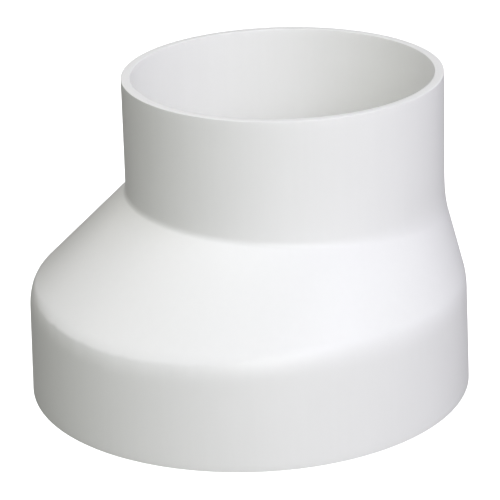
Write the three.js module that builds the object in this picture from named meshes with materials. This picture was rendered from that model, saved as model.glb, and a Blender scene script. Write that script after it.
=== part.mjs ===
// Eccentric reducer for plastic pipe: a large collar, an off-centre cone and a
// small collar, butt-joined in line and open from end to end.
// Millimetres, +Z up. Origin at the centre of the large mouth, +X towards the
// side where the two collars run flush.

import * as THREE from 'three';
import { ParametricGeometry } from 'three/addons/geometries/ParametricGeometry.js';
import { mergeVertices } from 'three/addons/utils/BufferGeometryUtils.js';

// ---- driving dimensions -------------------------------------------------
const WALL = 3.4;                 // wall thickness, the same all over
const R_LARGE = 80.0;             // large collar, outer radius at the shoulder
const R_MOUTH = 81.1;             // large collar, outer radius at the open mouth
const R_SMALL = 58.75;            // small collar, outer radius at the crease
const R_RIM = 58.5;               // small collar, outer radius at the open rim
const OFFSET = R_LARGE - R_SMALL; // axis offset that makes the +X side flush

const Z_SHOULDER = 39.3;          // theoretical corner between large collar and cone
const Z_CREASE = 66.9;            // theoretical corner between cone and small collar, on the axis
const HEIGHT = 112.7;             // mouth to rim
const Z_SEAM_LOW = 28.0;          // butt joint of large collar and cone
const Z_SEAM_HIGH = 83.0;         // butt joint of cone and small collar
const CREASE_SLOPE_X = -0.041;    // the crease sits lower on the flush side
const CREASE_SLOPE_Y = 0.0273;

const SHOULDER_RADIUS = 9.2;      // outside rounding of the shoulder, from its upper leg
const SHOULDER_RADIUS_LOW = 12.9; // and from its lower leg
const SHOULDER_TIGHT = { centre: 130, width: 40, size: -2.6 }; // where the upper leg is shorter
const LINE_BEFORE = 9;            // degrees of turn above the crisp line on the steep side
const SHOULDER_KINK = 18;         // degrees of turn in the line itself
const LINE_BEND = 3.4;            // how far up the cone the turn above the line bends
const LINE_LEG = 2.2;             // and how long its legs are
const CRISP_CENTRE = 185;         // degrees around, middle of the crisp stretch
const CRISP_WITHIN = 20;          // fully crisp this far to either side of it
const CRISP_LIMIT = 42;           // plain round from here on
const SHOULDER_WAVE = [           // slow waves of the shoulder line
  { centre: 186, width: 31, size: -2.3 },
  { centre: 236, width: 21, size: 1.5 },
];
const CREASE_STEEP = [1.4, 1.4];  // legs of the crease blend below and above it, steep side
const CREASE_FLUSH = [7.5, 15.0]; // and on the flush side, where it is a soft blend
const EDGE = 0.25;                // small rounding of the four mouth edges

// ---- tessellation -------------------------------------------------------
const SEGMENTS = 112;             // around, shared by all three pieces so the joints match
const SHOULDER_STEPS = 8;
const LINE_STEPS = 3;             // of those, the ones above the crisp line
const CREASE_STEPS = 5;

// ---- sections -----------------------------------------------------------
const largeRadiusAt = (z) => R_MOUTH + (R_LARGE - R_MOUTH) * (z / Z_SHOULDER);
const smallRadiusAt = (z) => R_SMALL + (R_RIM - R_SMALL) * ((z - Z_CREASE) / (HEIGHT - Z_CREASE));

function material(name, hex, roughness) {
  return new THREE.MeshStandardMaterial({ name, color: hex, roughness, metalness: 0 });
}

// A pipe ring from a closed section of [radius, height] points, run around Z.
function ring(section) {
  const points = section.map(([r, z]) => new THREE.Vector2(r, z));
  points.push(points[0].clone());
  const geometry = new THREE.LatheGeometry(points, SEGMENTS);
  geometry.rotateX(Math.PI / 2);
  return geometry;
}

// Two points that cut a square edge to a small round.
const edgeRound = (r, z, dr, dz) => [
  [r - dr * EDGE, z],
  [r - dr * EDGE * 0.29, z - dz * EDGE * 0.29],
  [r, z - dz * EDGE],
];

// ---- large collar -------------------------------------------------------
function largeCollar() {
  const ro = largeRadiusAt;
  const ri = (z) => largeRadiusAt(z) - WALL;
  return ring([
    ...edgeRound(ri(0), 0, -1, -1).reverse(),
    ...edgeRound(ro(0), 0, 1, -1),
    [ro(Z_SEAM_LOW), Z_SEAM_LOW],
    [ri(Z_SEAM_LOW), Z_SEAM_LOW],
  ]);
}

// ---- small collar -------------------------------------------------------
function smallCollar() {
  const ro = smallRadiusAt;
  const ri = (z) => smallRadiusAt(z) - WALL;
  return ring([
    [ri(Z_SEAM_HIGH), Z_SEAM_HIGH],
    [ro(Z_SEAM_HIGH), Z_SEAM_HIGH],
    ...edgeRound(ro(HEIGHT), HEIGHT, 1, 1).reverse(),
    ...edgeRound(ri(HEIGHT), HEIGHT, -1, 1),
  ]);
}

// ---- eccentric cone -----------------------------------------------------
const radians = THREE.MathUtils.degToRad;
const direction = (from, to) => to.clone().sub(from).normalize();

// 1 where the shoulder keeps a crisp line, 0 where it is a plain round.
function crispShare(phi) {
  const inside = Math.cos(radians(CRISP_WITHIN));
  const outside = Math.cos(radians(CRISP_LIMIT));
  return THREE.MathUtils.smoothstep(Math.cos(phi - radians(CRISP_CENTRE)), outside, inside);
}

// A smooth hump of the given size round one angle.
function swell(phi, { centre, width, size }) {
  const away = THREE.MathUtils.euclideanModulo(phi - radians(centre) + Math.PI, 2 * Math.PI) - Math.PI;
  return size * Math.exp(-((away / radians(width)) ** 2));
}

const shoulderHeight = (phi) => SHOULDER_WAVE.reduce((z, wave) => z + swell(phi, wave), Z_SHOULDER);

// Corner points of the outside line at one angle around the cone.
function corners(phi) {
  const c = Math.cos(phi);
  const s = Math.sin(phi);
  const rLow = largeRadiusAt(Z_SEAM_LOW);
  const rHigh = smallRadiusAt(Z_SEAM_HIGH);
  const zCrease = Z_CREASE + CREASE_SLOPE_X * R_SMALL * c + CREASE_SLOPE_Y * R_SMALL * s;
  return [
    new THREE.Vector3(rLow * c, rLow * s, Z_SEAM_LOW),
    new THREE.Vector3(R_LARGE * c, R_LARGE * s, shoulderHeight(phi)),
    new THREE.Vector3(OFFSET + R_SMALL * c, R_SMALL * s, zCrease),
    new THREE.Vector3(OFFSET + rHigh * c, rHigh * s, Z_SEAM_HIGH),
  ];
}

// A rounded run from a to b, pulled towards the control point.
function conic(a, control, b, turn, steps) {
  const w = Math.cos(turn / 2);
  const points = [];
  for (let i = 0; i <= steps; i++) {
    const t = i / steps;
    const ka = (1 - t) * (1 - t);
    const kc = 2 * w * t * (1 - t);
    const kb = t * t;
    const k = ka + kc + kb;
    points.push(new THREE.Vector3()
      .addScaledVector(a, ka / k)
      .addScaledVector(control, kc / k)
      .addScaledVector(b, kb / k));
  }
  return points;
}

// The outside line at one angle, from the lower joint to the upper joint.
// isPlain leaves out the shoulder's crisp line and tighter stretch.
function outsideLine(phi, isPlain) {
  const crisp = isPlain ? 0 : crispShare(phi);
  const tight = isPlain ? 0 : swell(phi, SHOULDER_TIGHT);
  const [p0, p1, p2, p3] = corners(phi);
  const d0 = direction(p0, p1);
  const d1 = direction(p1, p2);
  const d2 = direction(p2, p3);

  // a long round
  const turn = d0.angleTo(d1);
  const up = Math.max((SHOULDER_RADIUS + tight) * Math.tan(turn / 2), 0.8);
  const down = Math.max(SHOULDER_RADIUS_LOW * Math.tan(turn / 2), 1.1);
  const foot = p1.clone().addScaledVector(d0, -down);
  const plain = conic(foot, p1, p1.clone().addScaledVector(d1, up), turn, SHOULDER_STEPS);

  // the same turn with a crisp line in it
  const before = Math.min(radians(LINE_BEFORE), turn * 0.3);
  const kink = Math.min(radians(SHOULDER_KINK), turn * 0.4);
  const rest = turn - before - kink;
  const full = Math.max(Math.sin(turn), 1e-6);
  const back = (LINE_LEG * Math.sin(turn - before)) / full;
  const sunk = (LINE_LEG * Math.sin(before)) / full;
  const reach = ((LINE_BEND - back) * full) / Math.max(Math.sin(rest), 1e-6);
  const drop = sunk + (reach * Math.sin(before + kink)) / full;
  const line = p1.clone().addScaledVector(d1, LINE_BEND - back).addScaledVector(d0, -sunk);
  const creased = [
    ...conic(foot, p1.clone().addScaledVector(d0, -drop), line, rest, SHOULDER_STEPS - LINE_STEPS),
    ...conic(
      line,
      p1.clone().addScaledVector(d1, LINE_BEND),
      p1.clone().addScaledVector(d1, LINE_BEND + LINE_LEG),
      before,
      LINE_STEPS,
    ).slice(1),
  ];
  const shoulder = plain.map((p, k) => p.clone().lerp(creased[k], crisp));

  const share = ((1 + Math.cos(phi)) / 2) ** 2;
  const [below, above] = CREASE_STEEP.map((leg, k) => leg + (CREASE_FLUSH[k] - leg) * share);
  const crease = conic(
    p2.clone().addScaledVector(d1, -below),
    p2,
    p2.clone().addScaledVector(d2, above),
    d1.angleTo(d2),
    CREASE_STEPS,
  );
  return [p0, ...shoulder, ...crease, p3];
}

// Outside points and the matching bore points. The bore follows the plain
// round, one wall thickness in.
function wallAt(phi) {
  const step = 1e-3;
  const outer = outsideLine(phi, false);
  const plain = outsideLine(phi, true);
  const ahead = outsideLine(phi + step, true);
  const behind = outsideLine(phi - step, true);
  const last = plain.length - 1;
  const inner = plain.map((p, k) => {
    const around = ahead[k].clone().sub(behind[k]);
    const along = plain[Math.min(k + 1, last)].clone().sub(plain[Math.max(k - 1, 0)]);
    const normal = around.cross(along).normalize();
    return p.clone().addScaledVector(normal, -WALL);
  });
  const c = Math.cos(phi);
  const s = Math.sin(phi);
  const rLow = largeRadiusAt(Z_SEAM_LOW) - WALL;
  const rHigh = smallRadiusAt(Z_SEAM_HIGH) - WALL;
  inner[0].set(rLow * c, rLow * s, Z_SEAM_LOW);
  inner[last].set(OFFSET + rHigh * c, rHigh * s, Z_SEAM_HIGH);
  return [...outer, ...inner.reverse()];
}

function eccentricCone() {
  const table = [];
  for (let j = 0; j < SEGMENTS; j++) table.push(wallAt((2 * Math.PI * j) / SEGMENTS));
  const stations = table[0].length;
  const surface = (u, v, target) => {
    const j = Math.round(u * SEGMENTS) % SEGMENTS;
    const k = Math.round(v * stations) % stations;
    target.copy(table[j][k]);
  };
  let geometry = new ParametricGeometry(surface, SEGMENTS, stations);
  geometry.deleteAttribute('normal');
  geometry.deleteAttribute('uv');
  geometry = mergeVertices(geometry, 1e-5);
  geometry.computeVertexNormals();
  return geometry;
}

// ---- assembly -----------------------------------------------------------
function mesh(name, geometry, mat) {
  const m = new THREE.Mesh(geometry, mat);
  m.name = name;
  return m;
}

const reducer = new THREE.Group();

const large = mesh('large_collar', largeCollar(), material('white_pipe_plastic_large', 0xf1f1ee, 0.42));
reducer.add(large);

const cone = mesh('eccentric_cone', eccentricCone(), material('white_pipe_plastic_cone', 0xf1f1ee, 0.45));
reducer.add(cone);

const small = mesh('small_collar', smallCollar(), material('white_pipe_plastic_small', 0xf1f1ee, 0.42));
small.position.set(OFFSET, 0, 0);
reducer.add(small);

export default reducer;
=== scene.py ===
import math

import bpy
import numpy as np
from mathutils import Matrix, Vector


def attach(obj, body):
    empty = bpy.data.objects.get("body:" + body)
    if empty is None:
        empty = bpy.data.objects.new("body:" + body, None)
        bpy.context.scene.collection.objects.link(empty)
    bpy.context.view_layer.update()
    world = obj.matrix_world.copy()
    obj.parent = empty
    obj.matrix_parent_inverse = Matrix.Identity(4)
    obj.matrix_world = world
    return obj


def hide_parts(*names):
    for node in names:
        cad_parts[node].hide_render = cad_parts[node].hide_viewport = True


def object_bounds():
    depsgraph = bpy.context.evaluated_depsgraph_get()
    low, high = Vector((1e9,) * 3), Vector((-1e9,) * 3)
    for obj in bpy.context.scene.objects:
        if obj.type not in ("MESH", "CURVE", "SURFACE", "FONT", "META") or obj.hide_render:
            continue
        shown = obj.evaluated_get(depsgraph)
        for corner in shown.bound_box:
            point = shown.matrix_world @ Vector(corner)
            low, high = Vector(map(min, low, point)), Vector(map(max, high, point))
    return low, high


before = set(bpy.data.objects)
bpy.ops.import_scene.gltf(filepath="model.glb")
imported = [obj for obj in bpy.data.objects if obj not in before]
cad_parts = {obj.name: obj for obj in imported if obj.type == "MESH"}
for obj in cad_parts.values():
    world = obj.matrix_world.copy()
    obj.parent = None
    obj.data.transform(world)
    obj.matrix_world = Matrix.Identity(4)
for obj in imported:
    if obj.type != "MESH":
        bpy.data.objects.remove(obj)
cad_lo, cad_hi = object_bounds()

# ---------------------------------------------------------------------------
# Driving dimensions, in metres, the same as the CAD's.
# ---------------------------------------------------------------------------
WALL = 0.0034
R_LARGE, R_MOUTH = 0.0800, 0.0811
R_SMALL, R_RIM = 0.05875, 0.0585
OFFSET = R_LARGE - R_SMALL
Z_SHOULDER, Z_CREASE, HEIGHT = 0.0393, 0.0669, 0.1127
Z_SEAM_LOW, Z_SEAM_HIGH = 0.0280, 0.0830
CREASE_SLOPE_X, CREASE_SLOPE_Y = -0.041, 0.0273
SHOULDER_RADIUS = 0.0092              # outside rounding of the shoulder, from its upper leg
SHOULDER_TIGHT = (130, 40, -0.0026)    # angle, width and change where the upper leg is shorter
SHOULDER_RADIUS_LOW = 0.0129           # and from its lower leg
LINE_BEFORE = math.radians(9)         # turn above the crisp line on the steep side
SHOULDER_KINK = math.radians(18)       # turn in the line itself
LINE_BEND, LINE_LEG = 0.0034, 0.0022   # where the turn above it bends, and its legs
CRISP_CENTRE, CRISP_WITHIN, CRISP_LIMIT = 185, 20, 42
SHOULDER_WAVE = [(186, 31, -0.0023), (236, 21, 0.0015)]  # angle, width, rise of the shoulder line
SHOULDER_RAGGED = [(31, 0.4, 0.00010), (53, 2.1, 0.00012), (83, 4.4, 0.00010), (117, 1.3, 0.00008)]  # waves, phase, size
CREASE_STEEP = (0.0014, 0.0014)         # legs of the crease blend below and above it, on the steep side
CREASE_FLUSH = (0.0075, 0.0150)         # and on the flush side, where it is a soft blend
EDGE = 0.00025

AROUND = 360          # facets round the axis, shared so that the joints meet
SHOULDER_STEPS, CREASE_STEPS, EDGE_STEPS = 16, 12, 4


def large_radius(z):
    return R_MOUTH + (R_LARGE - R_MOUTH) * (z / Z_SHOULDER)


def small_radius(z):
    return R_SMALL + (R_RIM - R_SMALL) * ((z - Z_CREASE) / (HEIGHT - Z_CREASE))


# ---------------------------------------------------------------------------
# Mesh building: every shell is a closed ring of stations (outer wall up, top
# edge, inner wall down, bottom edge), lofted round the axis.
# ---------------------------------------------------------------------------
def loft(name, table, sharp):
    """table[station][angle] -> point. sharp: stations whose ring is a hard edge."""
    table = np.asarray(table, dtype=float)
    stations, around, _ = table.shape
    verts = table.reshape(-1, 3)
    faces = []
    for k in range(stations):
        k2 = (k + 1) % stations
        for j in range(around):
            j2 = (j + 1) % around
            faces.append((k * around + j, k * around + j2, k2 * around + j2, k2 * around + j))
    mesh = bpy.data.meshes.new(name)
    mesh.from_pydata(verts.tolist(), [], faces)
    mesh.polygons.foreach_set("use_smooth", [True] * len(faces))
    hard = np.zeros(len(mesh.edges), dtype=bool)
    ends = np.empty(len(mesh.edges) * 2, dtype=np.int64)
    mesh.edges.foreach_get("vertices", ends)
    a, b = ends[0::2], ends[1::2]
    for k in sharp:
        hard |= (a // around == k) & (b // around == k)
    attr = mesh.attributes.get("sharp_edge") or mesh.attributes.new("sharp_edge", "BOOLEAN", "EDGE")
    attr.data.foreach_set("value", hard)
    mesh.update()
    mesh.validate()
    obj = bpy.data.objects.new(name, mesh)
    bpy.context.scene.collection.objects.link(obj)
    return obj


ANGLES = np.arange(AROUND) * 2 * math.pi / AROUND
COS, SIN = np.cos(ANGLES), np.sin(ANGLES)


def circle(r, z, cx=0.0):
    return np.stack([cx + r * COS, r * SIN, np.full(AROUND, z)], axis=1)


def edge_round(r, z, dr, dz, steps=EDGE_STEPS):
    """Quarter round on a square edge: starts on the flat face, ends on the wall."""
    out = []
    for i in range(steps + 1):
        t = i / steps * math.pi / 2
        out.append((r - dr * EDGE * (1 - math.sin(t)), z - dz * EDGE * (1 - math.cos(t))))
    return out


def wall_run(radius, z0, z1, n):
    return [(radius(z0 + (z1 - z0) * i / n), z0 + (z1 - z0) * i / n) for i in range(1, n)]


def build_large():
    ro = large_radius
    ri = lambda z: large_radius(z) - WALL
    section = []
    section += edge_round(ri(0), 0.0, -1, -1)[::-1]
    section += edge_round(ro(0), 0.0, 1, -1)
    section += wall_run(ro, EDGE, Z_SEAM_LOW, 12)
    seam_out = len(section)
    section += [(ro(Z_SEAM_LOW), Z_SEAM_LOW), (ri(Z_SEAM_LOW), Z_SEAM_LOW)]
    section += wall_run(ri, Z_SEAM_LOW, EDGE, 12)
    return loft("large_collar_skin", [circle(r, z) for r, z in section], [seam_out, seam_out + 1])


def build_small():
    ro = small_radius
    ri = lambda z: small_radius(z) - WALL
    section = [(ri(Z_SEAM_HIGH), Z_SEAM_HIGH), (ro(Z_SEAM_HIGH), Z_SEAM_HIGH)]
    section += wall_run(ro, Z_SEAM_HIGH, HEIGHT - EDGE, 12)
    section += edge_round(ro(HEIGHT), HEIGHT, 1, 1)[::-1]
    section += edge_round(ri(HEIGHT), HEIGHT, -1, 1)
    section += wall_run(ri, HEIGHT - EDGE, Z_SEAM_HIGH, 12)
    return loft("small_collar_skin", [circle(r, z, OFFSET) for r, z in section], [0, 1])


def unit(v):
    return v / np.linalg.norm(v, axis=-1, keepdims=True)


def crisp_share(phi):
    """1 where the shoulder keeps a crisp line, 0 where it is a plain round."""
    inside, outside = math.cos(math.radians(CRISP_WITHIN)), math.cos(math.radians(CRISP_LIMIT))
    x = np.clip((np.cos(phi - math.radians(CRISP_CENTRE)) - outside) / (inside - outside), 0, 1)
    return x * x * (3 - 2 * x)


def swell(phi, centre, width, size):
    """A smooth hump of the given size round one angle."""
    away = (phi - math.radians(centre) + math.pi) % (2 * math.pi) - math.pi
    return size * np.exp(-(away / math.radians(width)) ** 2)


def shoulder_height(phi):
    return Z_SHOULDER + sum(swell(phi, *wave) for wave in SHOULDER_WAVE)


def outside_lines(phi, plain=False):
    """Points of the cone's outside, [station, angle, xyz], for an array of angles. plain
    leaves out the shoulder's crisp line and tighter stretch."""
    c, s = np.cos(phi), np.sin(phi)
    flat = lambda r, z, cx=0.0: np.stack([cx + r * c, r * s, np.broadcast_to(z, c.shape)], axis=1)
    z_crease = Z_CREASE + CREASE_SLOPE_X * R_SMALL * c + CREASE_SLOPE_Y * R_SMALL * s
    p0 = flat(large_radius(Z_SEAM_LOW), Z_SEAM_LOW)
    p1 = flat(R_LARGE, shoulder_height(phi))
    p2 = flat(R_SMALL, z_crease, OFFSET)
    p3 = flat(small_radius(Z_SEAM_HIGH), Z_SEAM_HIGH, OFFSET)

    def angle(d0, d1):
        return np.arccos(np.clip((d0 * d1).sum(1), -1, 1))

    def conic(a, control, b, turn, steps):
        w = np.cos(turn / 2)[:, None]
        out = []
        for i in range(steps + 1):
            t = i / steps
            ka, kc, kb = (1 - t) ** 2, 2 * w * t * (1 - t), t * t
            out.append((a * ka + control * kc + b * kb) / (ka + kc + kb))
        return out

    # shoulder: a long round, with a crisp line left in it on the steep side
    d0, d1 = unit(p1 - p0), unit(p2 - p1)
    turn = angle(d0, d1)
    crisp = np.zeros_like(phi) if plain else crisp_share(phi)
    tight = 0.0 if plain else swell(phi, *SHOULDER_TIGHT)
    up = np.maximum((SHOULDER_RADIUS + tight) * np.tan(turn / 2), 0.0008)
    down = np.maximum(SHOULDER_RADIUS_LOW * np.tan(turn / 2), 0.0011)
    foot = p1 - d0 * down[:, None]
    round_ = conic(foot, p1, p1 + d1 * up[:, None], turn, SHOULDER_STEPS)
    ragged = sum(a * np.sin(k * phi + s) for k, s, a in SHOULDER_RAGGED)
    before, kink = np.minimum(LINE_BEFORE, turn * 0.3), np.minimum(SHOULDER_KINK, turn * 0.4)
    rest = turn - before - kink
    bend = LINE_BEND + ragged
    full = np.maximum(np.sin(turn), 1e-6)
    reach = (bend * full - LINE_LEG * np.sin(turn - before)) / np.maximum(np.sin(rest), 1e-6)
    drop = (LINE_LEG * np.sin(before) + reach * np.sin(before + kink)) / full
    line = p1 + d1 * (bend - LINE_LEG * np.sin(turn - before) / full)[:, None] - d0 * (LINE_LEG * np.sin(before) / full)[:, None]
    steps_above = SHOULDER_STEPS * 3 // 8
    creased = conic(foot, p1 - d0 * drop[:, None], line, rest, SHOULDER_STEPS - steps_above)
    creased += conic(line, p1 + d1 * bend[:, None], p1 + d1 * (bend + LINE_LEG)[:, None], before, steps_above)[1:]
    low = [q + (r - q) * crisp[:, None] for q, r in zip(round_, creased)]

    # crease: nearly sharp on the steep side, softer on the flush side
    e0, e1 = unit(p2 - p1), unit(p3 - p2)
    share = ((1 + c) / 2) ** 2
    below, above = (a + (b - a) * share for a, b in zip(CREASE_STEEP, CREASE_FLUSH))
    high = conic(p2 - e0 * below[:, None], p2, p2 + e1 * above[:, None], angle(e0, e1), CREASE_STEPS)
    lines = [p0, p0 + (low[0] - p0) * 0.5] + low
    lines.append(low[-1] + e0 * 0.0003)
    for i in range(1, 8):
        lines.append(low[-1] + (high[0] - low[-1]) * i / 8)
    lines += high
    for i in range(1, 4):
        lines.append(high[-1] + (p3 - high[-1]) * i / 4)
    lines.append(p3)
    return np.array(lines)


def build_cone():
    outer = outside_lines(ANGLES)
    # the bore follows the plain round, one wall in
    plain = outside_lines(ANGLES, True)
    step = 1e-3
    around = outside_lines(ANGLES + step, True) - outside_lines(ANGLES - step, True)
    along = np.empty_like(plain)
    along[1:-1] = plain[2:] - plain[:-2]
    along[0], along[-1] = plain[1] - plain[0], plain[-1] - plain[-2]
    normal = unit(np.cross(around, along))
    inner = plain - normal * WALL
    inner[0] = circle(large_radius(Z_SEAM_LOW) - WALL, Z_SEAM_LOW)
    inner[-1] = circle(small_radius(Z_SEAM_HIGH) - WALL, Z_SEAM_HIGH, OFFSET)
    n = len(outer)
    table = np.concatenate([outer, inner[::-1]])
    return loft("eccentric_cone_skin", table, [0, n - 1, n, 2 * n - 1])


# ---------------------------------------------------------------------------
# Material: rigid white pipe plastic
# ---------------------------------------------------------------------------
def plastic(name, color, rough, streak_axis_offset):
    """White pipe plastic: opaque and semi-matt, with a fine orange-peel skin, faint draw
    lines along the run and barely uneven gloss."""
    mat = bpy.data.materials.new(name)
    mat.use_nodes = True
    nt = mat.node_tree
    nt.nodes.clear()
    n, l = nt.nodes.new, nt.links.new
    out = n("ShaderNodeOutputMaterial")
    bsdf = n("ShaderNodeBsdfPrincipled")
    l(bsdf.outputs["BSDF"], out.inputs["Surface"])
    bsdf.inputs["IOR"].default_value = 1.5
    coord = n("ShaderNodeTexCoord")

    # angle round the collar's own axis and height, so that draw lines run along the pipe
    shift = n("ShaderNodeVectorMath")
    shift.operation = "SUBTRACT"
    shift.inputs[1].default_value = (streak_axis_offset, 0, 0)
    l(coord.outputs["Object"], shift.inputs[0])
    split = n("ShaderNodeSeparateXYZ")
    l(shift.outputs["Vector"], split.inputs[0])
    stretch = n("ShaderNodeCombineXYZ")
    l(split.outputs["X"], stretch.inputs["X"])
    l(split.outputs["Y"], stretch.inputs["Y"])
    slow = n("ShaderNodeMath")
    slow.operation = "MULTIPLY"
    slow.inputs[1].default_value = 0.04
    l(split.outputs["Z"], slow.inputs[0])
    l(slow.outputs[0], stretch.inputs["Z"])

    def noise_tex(scale, detail, roughness, vector):
        t = n("ShaderNodeTexNoise")
        t.inputs["Scale"].default_value = scale
        t.inputs["Detail"].default_value = detail
        t.inputs["Roughness"].default_value = roughness
        l(vector, t.inputs["Vector"])
        return t.outputs["Fac"]

    def map_range(value, a, b, c, d):
        m = n("ShaderNodeMapRange")
        m.inputs["From Min"].default_value = a
        m.inputs["From Max"].default_value = b
        m.inputs["To Min"].default_value = c
        m.inputs["To Max"].default_value = d
        l(value, m.inputs["Value"])
        return m.outputs["Result"]

    def math_node(op, a, b):
        m = n("ShaderNodeMath")
        m.operation = op
        for i, v in enumerate((a, b)):
            if isinstance(v, (int, float)):
                m.inputs[i].default_value = v
            else:
                l(v, m.inputs[i])
        return m.outputs[0]

    cloud = noise_tex(28.0, 3.0, 0.5, coord.outputs["Object"])      # 35 mm patches
    draw = noise_tex(420.0, 2.0, 0.5, stretch.outputs["Vector"])    # 2.4 mm draw lines
    peel = noise_tex(700.0, 2.0, 0.45, coord.outputs["Object"])     # 1.4 mm orange peel
    grain = noise_tex(4200.0, 1.0, 0.5, coord.outputs["Object"])    # 0.24 mm grain

    # colour: a breath of lighter and darker resin
    tone = math_node("ADD", map_range(cloud, 0.3, 0.7, -0.006, 0.006), map_range(draw, 0.3, 0.7, -0.004, 0.004))
    tone = math_node("ADD", tone, map_range(grain, 0.3, 0.7, -0.004, 0.004))
    tone = math_node("ADD", tone, 1.0)
    tint = n("ShaderNodeVectorMath")
    tint.operation = "SCALE"
    tint.inputs[0].default_value = color
    l(tone, tint.inputs["Scale"])
    l(tint.outputs["Vector"], bsdf.inputs["Base Color"])

    # gloss: slightly uneven
    gloss = math_node("ADD", map_range(cloud, 0.3, 0.7, rough - 0.035, rough + 0.035), map_range(draw, 0.3, 0.7, -0.03, 0.03))
    l(gloss, bsdf.inputs["Roughness"])

    # skin: a few micrometres of relief
    height = math_node("ADD", math_node("MULTIPLY", peel, 0.6), math_node("MULTIPLY", draw, 0.3))
    height = math_node("ADD", height, math_node("MULTIPLY", grain, 0.1))
    bump = n("ShaderNodeBump")
    bump.inputs["Strength"].default_value = 1.0
    bump.inputs["Distance"].default_value = 0.00002
    l(height, bump.inputs["Height"])
    l(bump.outputs["Normal"], bsdf.inputs["Normal"])
    return mat


# ---------------------------------------------------------------------------
# Camera first
# ---------------------------------------------------------------------------
CAM_D, CAM_H = 0.78064, 0.35628
CAM_YAW, CAM_PITCH, CAM_ROLL = 0.0013, 0.3743, -0.0300
CAM_TURN = 0.8132
FOCAL_PX = 2292.76


def make_camera():
    cam = bpy.data.cameras.new("camera")
    cam.sensor_width = 36.0
    cam.sensor_fit = "HORIZONTAL"
    cam.lens = 36.0 * FOCAL_PX / 500.0
    cam.clip_start, cam.clip_end = 0.05, 50
    obj = bpy.data.objects.new("camera", cam)
    bpy.context.scene.collection.objects.link(obj)
    z = Vector((0, 0, 1))
    right0 = Vector((math.cos(CAM_YAW), -math.sin(CAM_YAW), 0))
    flat = Vector((math.sin(CAM_YAW), math.cos(CAM_YAW), 0))
    fwd = flat * math.cos(CAM_PITCH) - z * math.sin(CAM_PITCH)
    up0 = flat * math.sin(CAM_PITCH) + z * math.cos(CAM_PITCH)
    right = right0 * math.cos(CAM_ROLL) + up0 * math.sin(CAM_ROLL)
    up = up0 * math.cos(CAM_ROLL) - right0 * math.sin(CAM_ROLL)
    turn = Matrix.Rotation(-CAM_TURN, 3, "Z")
    right, up, fwd = turn @ right, turn @ up, turn @ fwd
    pos = turn @ Vector((0, -CAM_D, CAM_H))
    m = Matrix((right, up, -fwd)).transposed().to_4x4()
    m.translation = pos
    obj.matrix_world = m
    bpy.context.scene.camera = obj
    return obj


make_camera()

WHITE = (0.895, 0.895, 0.888)
materials = {
    "large_collar": plastic("white_pipe_plastic_large", WHITE, 0.42, 0.0),
    "eccentric_cone": plastic("white_pipe_plastic_cone", WHITE, 0.42, OFFSET / 2),
    "small_collar": plastic("white_pipe_plastic_small", WHITE, 0.42, OFFSET),
}
pieces = {
    "large_collar": build_large(),
    "eccentric_cone": build_cone(),
    "small_collar": build_small(),
}
for node, obj in pieces.items():
    obj.data.materials.append(materials[node])
    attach(obj, "root")
    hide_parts(node)

# ---------------------------------------------------------------------------
# Floor and light
# ---------------------------------------------------------------------------
def make_floor():
    """A pale floor that curves up into a round backdrop."""
    section = [(0.0, 0.0), (1.0, 0.0), (2.0, 0.0), (3.0, 0.0)]
    section += [(3.0 + math.sin(a) * 1.0, 1.0 - math.cos(a) * 1.0) for a in np.linspace(0.1, math.pi / 2, 12)]
    section += [(4.0, 2.5), (4.0, 5.0)]
    turns = 96
    verts = [(0.0, 0.0, 0.0)]
    for r, z in section[1:]:
        verts += [(r * math.cos(2 * math.pi * i / turns), r * math.sin(2 * math.pi * i / turns), z) for i in range(turns)]
    faces = [(0, 1 + i, 1 + (i + 1) % turns) for i in range(turns)]
    for k in range(len(section) - 2):
        a = 1 + k * turns
        b = a + turns
        faces += [(a + i, b + i, b + (i + 1) % turns, a + (i + 1) % turns) for i in range(turns)]
    mesh = bpy.data.meshes.new("floor")
    mesh.from_pydata(verts, [], faces)
    mesh.polygons.foreach_set("use_smooth", [True] * len(faces))
    obj = bpy.data.objects.new("floor", mesh)
    obj.location.z = cad_lo.z
    bpy.context.scene.collection.objects.link(obj)
    mat = bpy.data.materials.new("floor_white")
    mat.use_nodes = True
    bsdf = mat.node_tree.nodes["Principled BSDF"]
    bsdf.inputs["Base Color"].default_value = (0.9, 0.9, 0.9, 1)
    bsdf.inputs["Roughness"].default_value = 0.9
    bsdf.inputs["Specular IOR Level"].default_value = 0.0
    bsdf.inputs["Emission Color"].default_value = (1, 1, 1, 1)
    bsdf.inputs["Emission Strength"].default_value = FLOOR_GLOW
    mesh.materials.append(mat)
    # the light that a white floor would throw back comes from the world instead
    obj.visible_diffuse = False
    obj.visible_glossy = False
    obj.visible_transmission = False
    obj.visible_shadow = False


FLOOR_GLOW = 0.85
TARGET = Vector((0.012, 0.0, 0.055))


def heading(azimuth, elevation):
    """Unit vector from the object; azimuth 0 is the camera's side, positive to its right."""
    a, e = math.radians(-136.6 + azimuth), math.radians(elevation)
    return Vector((math.cos(a) * math.cos(e), math.sin(a) * math.cos(e), math.sin(e)))


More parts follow.
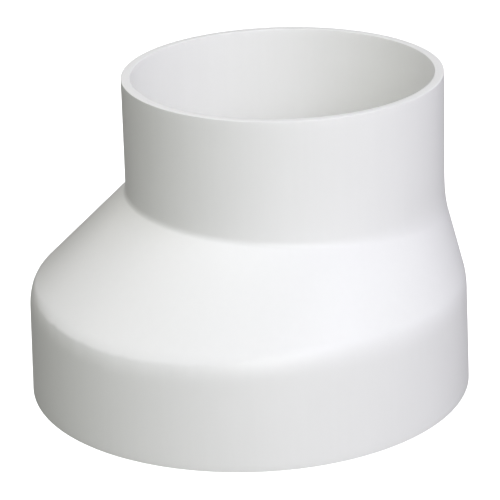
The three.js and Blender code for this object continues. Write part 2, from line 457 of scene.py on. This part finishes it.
# azimuth, elevation, disc size, distance, watts, colour
SOFTBOXES = [
    (-25, 8, 0.8, 1.6, 0.64, (0.997, 1.017, 0.986)),
    (5, 8, 0.8, 1.6, 2.93, (0.984, 1.003, 1.012)),
    (5, 30, 0.8, 1.6, 8.63, (1.009, 1.032, 0.959)),
    (30, 30, 0.8, 1.6, 4.62, (0.977, 0.941, 1.082)),
    (55, 30, 0.8, 1.6, 0.91, (0.994, 0.982, 1.024)),
    (135, 30, 0.8, 1.6, 3.94, (1.003, 1.005, 0.992)),
    (-110, 52, 0.8, 1.6, 3.95, (1.04, 1.013, 0.947)),
    (55, 52, 0.8, 1.6, 4.91, (0.949, 0.947, 1.104)),
    (-70, 72, 0.7, 1.6, 3.32, (0.972, 1.027, 1.0)),
    (180, 45, 0.9, 1.6, 2.25, (1.014, 1.01, 0.976)),
    (-150, 30, 0.9, 1.6, 3.43, (1.03, 0.988, 0.981)),
]
# azimuth, elevation, from, to, strength, colour: soft lobes of the surrounding room
ROOM = [
    (0, -90, -0.1, 1.0, 0.4913, (1.016, 1.022, 0.962)),
    (90, 0, 0.0, 1.0, 0.1865, (0.988, 0.936, 1.076)),
    (0, 0, 0.0, 1.0, 0.0472, (1.001, 1.005, 0.995)),
]


def make_lights():
    for i, (az, el, size, dist, watts, colour) in enumerate(SOFTBOXES):
        light = bpy.data.lights.new(f"softbox_{i}", "AREA")
        light.shape = "DISK"
        light.size = size
        light.energy = watts
        light.color = colour
        obj = bpy.data.objects.new(f"softbox_{i}", light)
        d = heading(az, el)
        obj.location = TARGET + d * dist
        obj.rotation_mode = "QUATERNION"
        obj.rotation_quaternion = d.to_track_quat("Z", "Y")
        bpy.context.scene.collection.objects.link(obj)


def make_room():
    world = bpy.data.worlds.new("studio")
    bpy.context.scene.world = world
    world.use_nodes = True
    nt = world.node_tree
    nt.nodes.clear()
    n, l = nt.nodes.new, nt.links.new
    out, bg, coord = n("ShaderNodeOutputWorld"), n("ShaderNodeBackground"), n("ShaderNodeTexCoord")
    l(bg.outputs["Background"], out.inputs["Surface"])
    total = None
    for az, el, lo, hi, strength, colour in ROOM:
        dot = n("ShaderNodeVectorMath")
        dot.operation = "DOT_PRODUCT"
        l(coord.outputs["Generated"], dot.inputs[0])
        dot.inputs[1].default_value = heading(az, el)
        ramp = n("ShaderNodeMapRange")
        ramp.clamp = True
        ramp.inputs["From Min"].default_value = lo
        ramp.inputs["From Max"].default_value = hi
        l(dot.outputs["Value"], ramp.inputs["Value"])
        tint = n("ShaderNodeVectorMath")
        tint.operation = "SCALE"
        tint.inputs[0].default_value = [c * strength for c in colour]
        l(ramp.outputs["Result"], tint.inputs["Scale"])
        if total is None:
            total = tint.outputs["Vector"]
        else:
            add = n("ShaderNodeVectorMath")
            add.operation = "ADD"
            l(total, add.inputs[0])
            l(tint.outputs["Vector"], add.inputs[1])
            total = add.outputs["Vector"]
    l(total, bg.inputs["Color"])
    bg.inputs["Strength"].default_value = 1.0


make_floor()
make_lights()
make_room()
bpy.context.scene.view_settings.view_transform = "Standard"
